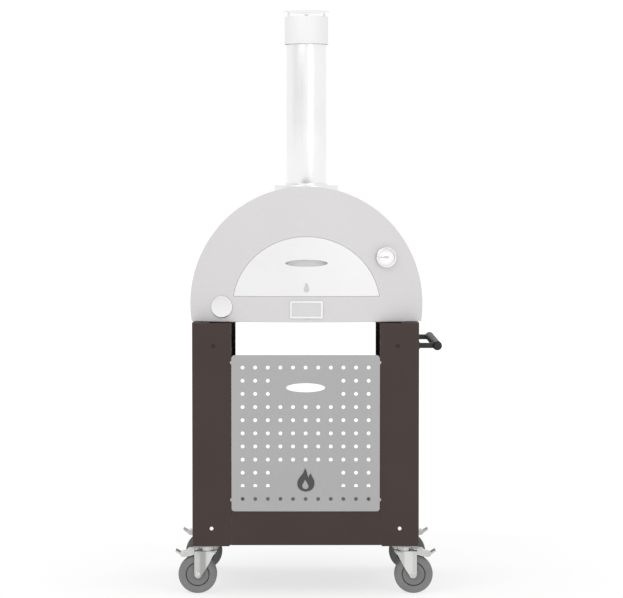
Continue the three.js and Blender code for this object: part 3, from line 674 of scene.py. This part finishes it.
FRONT = dict(a=303.8, b=306.0, zc=764.0, z0=718.2)
DOOR = dict(a=191.6, b=181.5, zc=758.0, z0=785.0)
NA, NB = 200, 60


def outer(o, base=None):
    return arch_loop(FRONT["a"] - o, FRONT["b"] - o, FRONT["zc"], FRONT["z0"] + (o if base is None else base), NA, NB)


def mouth(o):
    return arch_loop(DOOR["a"] + 0.6 + o, DOOR["b"] + 0.6 + o, DOOR["zc"], DOOR["z0"] - 0.6 - o, NA, NB)


def between(p, q, s):
    return [(a[0] + (b[0] - a[0]) * s, a[1] + (b[1] - a[1]) * s) for a, b in zip(p, q)]


ro, rb = 0.9, 0.35
sections = []
K = 14
for i in range(K + 1):
    sections.append(bowed_loop(between(mouth(rb), outer(ro), i / K), 0))
for t in (30, 60, 90):
    t = math.radians(t)
    sections.append(bowed_loop(outer(ro * (1 - math.sin(t))), ro * (1 - math.cos(t))))
sections.append(bowed_loop(outer(0), 14.2))
sections.append(bowed_loop(outer(0.4), 14.9))
sections.append(bowed_loop(outer(1.6, 0.6), 15))
sections.append(bowed_loop(outer(2.7, 0.9), 14.8))
sections.append(bowed_loop(outer(3, 1.2), 14.2))
sections.append(bowed_loop(outer(3, 1.2), 4.0))
sections.append(bowed_loop(outer(3.6, 1.8), 3.0))
for i in range(K - 1, -1, -1):
    sections.append(bowed_loop(between(mouth(rb), outer(3.6, 1.8), i / K), 3))
for t in (0, 30, 60, 90):
    t = math.radians(t)
    sections.append(bowed_loop(mouth(rb * (1 - math.cos(math.pi / 2 - t))), 3 - rb * (1 - math.sin(math.pi / 2 - t))))
for t in (90, 60, 30):
    t = math.radians(t)
    sections.append(bowed_loop(mouth(rb * (1 - math.sin(t))), rb * (1 - math.cos(t))))
v, f = swept(sections)
place(new_object("facade_look", v, f, MAT["pale"], 40, weighted=True), "cart", "facade")

# door
SLOT = (0, 871, 55, 9.1)


def door_outer(o):
    return arch_loop(DOOR["a"] - o, DOOR["b"] - o, DOOR["zc"], DOOR["z0"] + o, NA, NB)


def slot_loop(o):
    out = []
    for x, z in door_outer(0):
        t = math.atan2((z - SLOT[1]) * 1.6, x)
        out.append((SLOT[0] + (SLOT[2] + o) * math.cos(t), SLOT[1] + (SLOT[3] + o) * math.sin(t)))
    return out


sections = []
rb = 0.35
for i in range(K + 1):
    sections.append(bowed_loop(between(slot_loop(rb), door_outer(rb), i / K), 0))
for t in (30, 60, 90):
    t = math.radians(t)
    sections.append(bowed_loop(door_outer(rb * (1 - math.sin(t))), rb * (1 - math.cos(t))))
rear = -222.0


def flat_loop(pts, y):
    return [(x, y, z) for x, z in pts]


sections.append(flat_loop(door_outer(0), rear - 0.6))
sections.append(flat_loop(door_outer(0.6), rear))
sections.append(flat_loop(door_outer(2.4), rear))
sections.append(flat_loop(door_outer(3), rear - 0.6))
sections.append(bowed_loop(door_outer(3), 3.8))
sections.append(bowed_loop(door_outer(3.8), 3))
for i in range(K - 1, -1, -1):
    sections.append(bowed_loop(between(slot_loop(rb), door_outer(3.8), i / K), 3))
for t in (0, 30, 60, 90):
    t = math.radians(t)
    sections.append(bowed_loop(slot_loop(rb * (1 - math.cos(math.pi / 2 - t))), 3 - rb * (1 - math.sin(math.pi / 2 - t))))
for t in (90, 60, 30):
    t = math.radians(t)
    sections.append(bowed_loop(slot_loop(rb * (1 - math.sin(t))), rb * (1 - math.cos(t))))
v, f = swept(sections)
door = new_object("oven_door_look", v, f, MAT["door"], 40)
# small drop-shaped recess, with dark enamel inside
drop = [(0, 822), (4.5, 812), (7, 804.5), *arc(0, 802, 7, 6.5, 0, -math.pi, 20), (-7, 804.5), (-4.5, 812)]
boolean_cut(door, [plate(round_poly(drop, [1.2] + [0] * (len(drop) - 1), 4), [], -270, BOW_Y + 1.45, "Y", bevel=0)])
door.data.materials.append(MAT["drop"])
for face in door.data.polygons:
    c = (TO_ROW @ OVEN).inverted() @ face.center
    if abs(c.x) < 7.2 and 795 < c.z < 822.5 and bow(c.x) + 0.3 < c.y < BOW_Y + 1.6:
        face.material_index = 1
door.data.shade_smooth()
door.data.set_sharp_from_angle(angle=math.radians(40))
mod = door.modifiers.new("weighted", "WEIGHTED_NORMAL")
mod.keep_sharp = True
mod.weight = 60
place(door, "door", "oven_door")

# closed finger recess behind the slot
front = BOW_Y + 3.3


def cup_loop(o):
    return arc(0, SLOT[1], SLOT[2] + o, SLOT[3] + o, 0, 2 * math.pi, 96)[:-1]


# from the middle of the back, round the outside, over the mouth and down inside
floor_y = front + 11
sections = [flat_loop(cup_loop(k), front + 12) for k in (-7.5, -5, -2, 1.4, 3.4)]
sections += [flat_loop(cup_loop(4), front + 11.4), bowed_loop(cup_loop(4), 3.7), bowed_loop(cup_loop(3.7), 3.3)]
sections += [bowed_loop(cup_loop(k), 3.3) for k in (2.4, 1.0)]
sections += [bowed_loop(cup_loop(0.65), 3.6), flat_loop(cup_loop(0.6), floor_y - 1.8)]
sections += [flat_loop(cup_loop(0.1), floor_y - 0.6), flat_loop(cup_loop(-1.4), floor_y)]
sections += [flat_loop(cup_loop(k), floor_y) for k in (-4, -6, -7.5)]
verts, faces = [], []
for k, lp in enumerate(sections):
    verts.extend(lp)
    if k:
        for i in range(96):
            j = (i + 1) % 96
            faces.append(((k - 1) * 96 + i, (k - 1) * 96 + j, k * 96 + j, k * 96 + i))
faces.append(tuple(range(96)))
faces.append(tuple(range((len(sections) - 1) * 96, len(sections) * 96)))
place(
    new_object("door_finger_recess_look", verts, faces, MAT["recess"], 40), "door", "door_finger_recess"
)

# ------------------------------------------------------------------ dome shell
DOME = dict(r=296.0, zc=764.0, straight=92.0, rear=252.0, t=2.0)


def dome_shell():
    nt, nb, nc = 192, 10, 18
    verts, rings = [], []

    def ring_at(r, y_of):
        out = []
        for i in range(nt):
            t = 2 * math.pi * i / nt
            x, z = r * math.cos(t), DOME["zc"] + r * math.sin(t)
            out.append((x, y_of(x), z))
        return out

    loops = []
    ro, ri = DOME["r"], DOME["r"] - DOME["t"]
    # inside, from the back pole to the front
    for k in range(1, nc + 1):
        t = math.pi / 2 * (1 - k / nc)
        y = DOME["straight"] + (DOME["rear"] - DOME["t"] - DOME["straight"]) * math.sin(t)
        loops.append(ring_at(ri * math.cos(t), lambda x, y=y: y))
    for k in range(1, nb + 1):
        s = k / nb
        loops.append(ring_at(ri, lambda x, s=s: DOME["straight"] * (1 - s) + bow(x, 4.0) * s))
    loops.append(ring_at(ri + 0.6, lambda x: bow(x, 3.5)))
    loops.append(ring_at(ro - 0.6, lambda x: bow(x, 3.5)))
    for k in range(nb, 0, -1):
        s = k / nb
        loops.append(ring_at(ro, lambda x, s=s: DOME["straight"] * (1 - s) + bow(x, 4.0) * s))
    for k in range(nc, 0, -1):
        t = math.pi / 2 * (1 - k / nc)
        y = DOME["straight"] + (DOME["rear"] - DOME["straight"]) * math.sin(t)
        loops.append(ring_at(ro * math.cos(t), lambda x, y=y: y))
    faces = []
    for lp in loops:
        rings.append(range(len(verts), len(verts) + nt))
        verts.extend(lp)
    p0 = len(verts)
    verts.append((0, DOME["rear"] - DOME["t"], DOME["zc"]))
    verts.append((0, DOME["rear"], DOME["zc"]))
    for a, b in zip(rings, rings[1:]):
        for i in range(nt):
            j = (i + 1) % nt
            faces.append((a[i], a[j], b[j], b[i]))
    for i in range(nt):
        j = (i + 1) % nt
        faces.append((p0, rings[0][j], rings[0][i]))
        faces.append((p0 + 1, rings[-1][i], rings[-1][j]))
    return verts, faces


def cut_below(obj, z_mm):
    bm = bmesh.new()
    bm.from_mesh(obj.data)
    geom = bm.verts[:] + bm.edges[:] + bm.faces[:]
    res = bmesh.ops.bisect_plane(bm, geom=geom, plane_co=(0, 0, z_mm / 1000 + SZ), plane_no=(0, 0, -1), clear_outer=True)
    cut = [e for e in res["geom_cut"] if isinstance(e, bmesh.types.BMEdge)]
    bmesh.ops.holes_fill(bm, edges=[e for e in bm.edges if e.is_boundary], sides=0)
    bmesh.ops.triangulate(bm, faces=[f for f in bm.faces if len(f.verts) > 4])
    bm.to_mesh(obj.data)
    bm.free()
    del cut


v, f = dome_shell()
shell = new_object("dome_shell_look", v, f, MAT["pale"], 40)
cut_below(shell, 719.6)
place(shell, "cart", "dome_shell")

# ------------------------------------------------------------------ flue
FLUE_Y = -65.0


def round_profile(pts, r=0.4, n=3, closed=True):
    return round_poly(pts, r, n, closed)


pipe = lathe(round_profile([(50.8, 966), (52.8, 966), (52.8, 1517), (50.8, 1517)], 0.5), 128, "Z", True)
place(new_object("flue_pipe_look", *moved(pipe, 0, FLUE_Y, 0), MAT["pipe"]), "cart", "flue_pipe")

sleeve = lathe(
    round_profile(
        [(56.4, 1447), (57.8, 1447), (57.8, 1520), (56.4, 1520), (56.4, 1485.5), (53.2, 1485.5), (53.2, 1484), (56.4, 1484)],
        0.35,
    ),
    128,
    "Z",
    True,
)
place(new_object("chimney_sleeve_look", *moved(sleeve, 0, FLUE_Y, 0), MAT["sleeve"]), "cart", "chimney_sleeve")

disc = lathe(
    round_profile([(0, 1530.5), (60.2, 1530.5), (61, 1531.6), (61, 1532.6), (59.4, 1533.8), (30, 1535.6), (0, 1537)], 0.8, 3, False),
    128,
    "Z",
)
legs = []
for i in range(3):
    leg = plate(round_poly([(53.6, -5), (55.8, -5), (55.8, 5), (53.6, 5)], 0.5, 2), [], 1488, 1531, "Z", 0.3)
    legs.append(moved(leg, rot=Matrix.Rotation(math.radians(90 + 120 * i), 4, "Z")))
rain_disc = new_object("rain_disc_look", *moved(merge_parts(disc, *legs), 0, FLUE_Y, 0), MAT["disc"])
# the underside glows with a faint even emission: painted light, because nothing lights it inside the gap
rain_disc.data.materials.append(MAT["disc_under_painted_glow"])
for face in rain_disc.data.polygons:
    if face.normal.z < -0.7 and face.center.z > 1.526:
        face.material_index = 1
place(rain_disc, "cart", "rain_disc")

collar = new_object(
    "flue_collar_look",
    *moved(
        lathe(
            round_profile(
                [(53.6, 1040), (53.6, 1078), (55.4, 1078), (55.4, 1073), (84.5, 1073), (84.5, 1030), (82, 1030), (82, 1070.5), (55.4, 1070.5), (55.4, 1040)],
                [0.2, 0.5, 0.5, 0.8, 2.0, 0.3, 0.3, 0.6, 0.6, 0.2],
            ),
            120, "Z", True,
        ),
        0, FLUE_Y, 0,
    ),
    MAT["steel"],
    40,
)
dome_plug = [(0, -262), (296.6, -262), (296.6, 92)]
dome_plug += [(296.6 * math.cos(t), 92 + 160.6 * math.sin(t)) for t in (math.pi / 2 * k / 24 for k in range(1, 24))]
dome_plug += [(0, 252.6)]
boolean_cut(collar, [moved(lathe(dome_plug, 240, "Y"), 0, 0, 764)])
collar.data.shade_smooth()
collar.data.set_sharp_from_angle(angle=math.radians(40))
place(collar, "cart", "flue_collar")

# ------------------------------------------------------------------ gauge, cap
GAUGE = (205.6, 886.0)
PORT = (-220.4, 756.6)


def on_front(p):
    x, z = p
    return Matrix.Translation((x, bow(x), z)) @ Matrix.Rotation(math.asin(x / BOW_R), 4, "Z")


def fixture(name, part, material, at, body, node, sharp=32):
    v, f = part
    m = on_front(at)
    v = [tuple(m @ Vector(p)) for p in v]
    return place(new_object(name, v, f, material, sharp), body, node)


case = lathe(
    round_profile(
        [(0, 24), (4, 24), (4, -0.6), (26.3, -0.6), (26.3, -9), (24.9, -9), (24.9, -2.1), (1.2, -2.1), (1.2, -5.4), (0, -5.4)],
        0.3, 3, False,
    ),
    72, "Y",
)
fixture("thermometer_case_look", case, MAT["steel"], GAUGE, "cart", "thermometer_case")
dial = lathe(round_profile([(1.7, -3.4), (24.4, -3.4), (24.4, -2.4), (1.7, -2.4)], 0.15), 72, "Y", True)
fixture("thermometer_dial_look", dial, MAT["dial"], GAUGE, "cart", "thermometer_dial")
bezel = lathe(round_profile([(23, -9.3), (26.6, -9.3), (26.6, -10.2), (24.6, -11.2), (23, -10.6)], 0.5), 72, "Y", True)
fixture("thermometer_bezel_look", bezel, MAT["steel"], GAUGE, "cart", "thermometer_bezel")
lens = lathe(round_profile([(0, -8.9), (24.4, -8.9), (24.4, -7.2), (0, -7.2)], 0.2, 3, False), 72, "Y")
fixture("thermometer_glass_look", lens, MAT["glass"], GAUGE, "cart", "thermometer_glass")
cap = lathe(
    round_profile([(0, 11), (20, 11), (20, -0.6), (28.5, -0.6), (28.5, -2.6), (27, -4), (14, -4.45), (0, -4.6)], 0.7, 4, False),
    72, "Y",
)
fixture("burner_port_cap_look", cap, MAT["steel"], PORT, "cart", "burner_port_cap")
refined("thermometer_pointer", MAT["pointer"], "gauge_pointer", bevel=0.12)
name_plate = refined("name_plate", MAT["steel"], "cart", bevel=0.2)
name_plate.data.materials.append(MAT["plate_field"])
to_oven = (TO_ROW @ OVEN).inverted()
for face in name_plate.data.polygons:
    c = to_oven @ face.center
    if abs(c.x) < 42.5 - 4.9 and 728 + 4.9 < c.z < 773 - 4.9 and c.y > bow(c.x, -2.6):
        face.material_index = 1

# ------------------------------------------------------------------ inner oven
refined("mouth_frame", MAT["steel"], "cart", bevel=0.3, sharp=40)
refined("cooking_vault", MAT["vault"], "cart", bevel=0.0, sharp=40)
refined("oven_base_pan", MAT["steel"], "cart", bevel=0.4)
refined("hearth_tile_left", MAT["stone"], "cart", bevel=1.5)
refined("hearth_tile_right", MAT["stone"], "cart", bevel=1.5)
refined("floor_insulation_board", MAT["wool"], "cart", bevel=1.0)
refined("insulation_blanket", MAT["wool"], "cart", bevel=0.0, sharp=40)

# ------------------------------------------------------------------ handle
origin = CART
grip = lathe(
    round_profile(
        [(0, -207), (8.4, -207), (12, -203.4), (12, -199), (11.6, -198.4), (11.6, 198.4), (12, 199), (12, 203.4), (8.4, 207), (0, 207)],
        1.2, 4, False,
    ),
    64, "Y",
)
place(new_object("handle_grip_look", *moved(grip, 345.2, 0, 653.3), MAT["grip"]), "cart", "handle_grip")
for tag, y in (("front", -190.0), ("rear", 176.0)):
    x0 = 295.3
    arm = lathe(
        round_profile([(0, x0), (11, x0), (11, x0 + 3), (7.4, x0 + 4.4), (7.1, x0 + 6), (7.1, 337.2), (0, 337.2)], 0.8, 4, False),
        48, "X",
    )
    place(new_object(f"handle_arm_{tag}_look", *moved(arm, 0, y, 653.3), MAT["black"]), "cart", f"handle_arm_{tag}")

# ------------------------------------------------------------------ screws
for node, x, z, r, h, mat, slot in (
    ("apron_screw_left", -245, 179.5, 5.2, 3.0, "bright", "zinc"),
    ("apron_screw_right", 245, 179.5, 5.2, 3.0, "bright", "zinc"),
    ("upper_screw_left", -239.5, 656, 4.6, 2.0, "brown_dark", "brown_paint"),
    ("upper_screw_right", 239.5, 656, 4.6, 2.0, "brown_dark", "brown_paint"),
):
    prof = [(0, -h)] + [(r * math.sin(math.radians(a)), -h * math.cos(math.radians(a))) for a in (15, 30, 45, 60, 75, 90)]
    prof += [(2.4, 0), (2.4, 10), (0, 10)]
    part = moved(lathe(prof, 40, "Y"), x, -255.3, z)
    place(new_object(node + "_look", *part, MAT[mat]), "cart", node)

# ------------------------------------------------------------------ castors
# fork legs get painted light and shade: bands across X, set apart for the left and right castors
FORK_ZINC_PAINTED_BANDS = {
    -1: banded_zinc_painted_light(
        "fork_zinc_painted_bands_left", (0.70, 0.70, 0.69), row(-260, 0, 0).x,
        [(-40, 0.82), (-20, 0.8), (-14, 0.56), (-4, 0.56), (1, 0.92), (12, 1.0), (40, 0.9)],
    ),
    1: banded_zinc_painted_light(
        "fork_zinc_painted_bands_right", (0.70, 0.70, 0.69), row(260, 0, 0).x,
        [(-40, 0.9), (-8, 0.78), (-3, 0.78), (1, 1.0), (18, 1.0), (23, 0.85), (40, 0.85)],
    ),
}
for tag, sx, sy in (("front_left", -1, -1), ("front_right", 1, -1), ("rear_left", -1, 1), ("rear_right", 1, 1)):
    base = Matrix.Translation((sx * 260.0, sy * 200.0, 0)) @ (Matrix.Rotation(math.pi, 4, "Z") if sx < 0 else Matrix.Identity(4))
    wheel = base @ Matrix.Translation((23.5, 0, 53))

    def put(name, part, material, m, body, node, slot, sharp=32):
        v, f = part
        v = [tuple(m @ Vector(p)) for p in v]
        return place(new_object(name, v, f, material, sharp), body, node)

    R, H = 50.6, 15.5
    tyre = lathe(
        round_poly(
            [
                (31.0, -13.2), (31.6, -H + 0.4), (33.5, -H), (44, -H + 0.2), (48.6, -H + 3.4), (R, -H + 8),
                (R, H - 8), (48.6, H - 3.4), (44, H - 0.2), (33.5, H), (31.6, H - 0.4), (31.0, 13.2),
            ],
            [0.3, 0.4, 0.8, 2, 4, 3, 3, 4, 2, 0.8, 0.4, 0.3], 4,
        ),
        128, "Y", True,
    )
    # rear tyres take the darker rubber copy, which is painted shade
    put(f"tyre_{tag}_look", tyre, MAT["tyre" if sy < 0 else "tyre_rear_painted_shade"], wheel, f"wheel_{tag}", f"tyre_{tag}", "tyre_rubber")
    hub = lathe(
        round_poly(
            [
                (6.3, -17.8), (12.2, -17.8), (13.2, -16.8), (13.8, -14.2), (17.5, -13.9), (19, -14.4), (27.6, -14.4), (28.7, -13.4),
                (29.1, -10.8), (30.7, -10.2), (30.7, 10.2), (29.1, 10.8), (28.7, 13.4), (27.6, 14.4), (19, 14.4), (17.5, 13.9),
                (13.8, 14.2), (13.2, 16.8), (12.2, 17.8), (6.3, 17.8),
            ],
            0.6, 3,
        ),
        96, "Y", True,
    )
    put(f"wheel_hub_{tag}_look", hub, MAT["hub"], wheel, f"wheel_{tag}", f"wheel_hub_{tag}", "hub_plastic")
    axle = lathe(
        round_profile(
            [(0, -24), (4.6, -23.9), (7.4, -22.6), (7.6, -21.3), (5.8, -21.3), (5.8, 21.3), (7.6, 21.3), (7.4, 22.6), (4.6, 23.9), (0, 24)],
            0.5, 3, False,
        ),
        48, "Y",
    )
    put(f"axle_{tag}_look", axle, MAT["zinc"], wheel, f"fork_{tag}", f"axle_{tag}", "zinc")
    top = refined(f"castor_plate_{tag}", MAT["zinc"], "cart", bevel=0.3)
    # the plate away from the swivel race takes the darker zinc copy: painted shade under the cart's bottom edge
    top.data.materials.append(MAT["zinc_painted_shade"])
    hub_at = row(sx * 260, sy * 200, 0)
    for face in top.data.polygons:
        if math.hypot(face.center.x - hub_at.x, face.center.y - hub_at.y) > 0.0176:
            face.material_index = 1
    refined(f"castor_fork_{tag}", FORK_ZINC_PAINTED_BANDS[sx], f"fork_{tag}", bevel=0.4)
    pedal = refined(f"brake_pedal_{tag}", MAT["zinc"], f"brake_{tag}", bevel=0.3)
    # pedal tips take the grey coating; the rear ones take the lighter copy, which is painted light
    pedal.data.materials.append(MAT["pedal" if sy < 0 else "pedal_rear_painted_light"])
    for face in pedal.data.polygons:
        if abs(face.center.x - hub_at.x) > 0.0695:
            face.material_index = 1

# ------------------------------------------------------------------ any node left
LEFT = {"brown_paint": "brown", "zinc": "zinc"}
for name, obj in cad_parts.items():
    if not obj.hide_render:
        obj.data.materials.clear()
        obj.data.materials.append(MAT["steel"])

# ------------------------------------------------------------------ floor, light
floor_mesh = bpy.data.meshes.new("floor")
s = 60.0
floor_mesh.from_pydata([(-s, -s, 0), (s, -s, 0), (s, s, 0), (-s, s, 0)], [], [(0, 1, 2, 3)])
floor = bpy.data.objects.new("floor", floor_mesh)
scene.collection.objects.link(floor)
fm = Mat("floor_paper")
fm.set(Roughness=0.9)
fm.bsdf.inputs["Specular IOR Level"].default_value = 0.0
paper = fm.ramp(fm.noise(3, 2, 0.5), [(0.3, (0.30, 0.30, 0.30)), (0.7, (0.31, 0.31, 0.31))])
fm.link(paper, fm.bsdf.inputs["Base Color"])
fm.bsdf.inputs["Emission Color"].default_value = (1, 1, 1, 1)
near = fm.node("ShaderNodeVectorMath", operation="LENGTH")
fm.link(fm.coords(), near.inputs[0])
fm.link(fm.span(near.outputs["Value"], 1.0, 3.0, 0.70, 0.80), fm.bsdf.inputs["Emission Strength"])
floor_mesh.materials.append(fm.m)

world = bpy.data.worlds.new("studio")
scene.world = world
world.use_nodes = True
wt = world.node_tree
bg = wt.nodes["Background"]
bg.inputs["Strength"].default_value = 1.0
# white all round, a little greyer towards the front left
tc = wt.nodes.new("ShaderNodeTexCoord")
sep = wt.nodes.new("ShaderNodeSeparateXYZ")
wt.links.new(tc.outputs["Generated"], sep.inputs[0])
flip = wt.nodes.new("ShaderNodeMath")
flip.operation = "MULTIPLY"
flip.inputs[1].default_value = -1.0
wt.links.new(sep.outputs["Y"], flip.inputs[0])
azimuth = wt.nodes.new("ShaderNodeMath")
azimuth.operation = "ARCTAN2"
wt.links.new(sep.outputs["X"], azimuth.inputs[0])
wt.links.new(flip.outputs[0], azimuth.inputs[1])
turn = wt.nodes.new("ShaderNodeMapRange")
turn.inputs["From Min"].default_value = -math.pi
turn.inputs["From Max"].default_value = math.pi
wt.links.new(azimuth.outputs[0], turn.inputs["Value"])
bands = wt.nodes.new("ShaderNodeValToRGB")
stops = [(-180, 1.0), (-100, 1.0), (-72, 0.84), (-24, 0.84), (-2, 1.0), (180, 1.0)]
el = bands.color_ramp.elements
while len(el) < len(stops):
    el.new(0.5)
for e, (deg, value) in zip(el, stops):
    e.position = (deg + 180) / 360
    e.color = (value, value, value, 1)
wt.links.new(turn.outputs["Result"], bands.inputs["Fac"])
# the grey band is only for light and reflections, and the backdrop itself is even white
path = wt.nodes.new("ShaderNodeLightPath")
backdrop = wt.nodes.new("ShaderNodeMix")
backdrop.data_type = "RGBA"
backdrop.inputs[7].default_value = (1.0, 1.0, 1.0, 1.0)
wt.links.new(path.outputs["Is Camera Ray"], backdrop.inputs[0])
wt.links.new(bands.outputs["Color"], backdrop.inputs[6])
wt.links.new(backdrop.outputs[2], bg.inputs["Color"])


def area(name, loc, target, size, power, shape="RECTANGLE", size_y=None):
    d = bpy.data.lights.new(name, "AREA")
    d.shape = shape
    d.size = size
    if size_y is not None:
        d.size_y = size_y
    d.energy = power
    o = bpy.data.objects.new(name, d)
    scene.collection.objects.link(o)
    o.location = loc
    o.rotation_euler = (Vector(target) - Vector(loc)).to_track_quat("-Z", "Y").to_euler()
    return o


area("key", (-1.6, -2.6, 3.2), (0, 0, 0.8), 2.2, 22, size_y=1.6)
area("fill", (1.45, -3.2, 1.62), (0, 0, 1.3), 1.3, 9, size_y=1.0)

scene.view_settings.view_transform = "Standard"
scene.view_settings.look = "None"
scene.view_settings.exposure = 0.0
scene.view_settings.gamma = 1.0
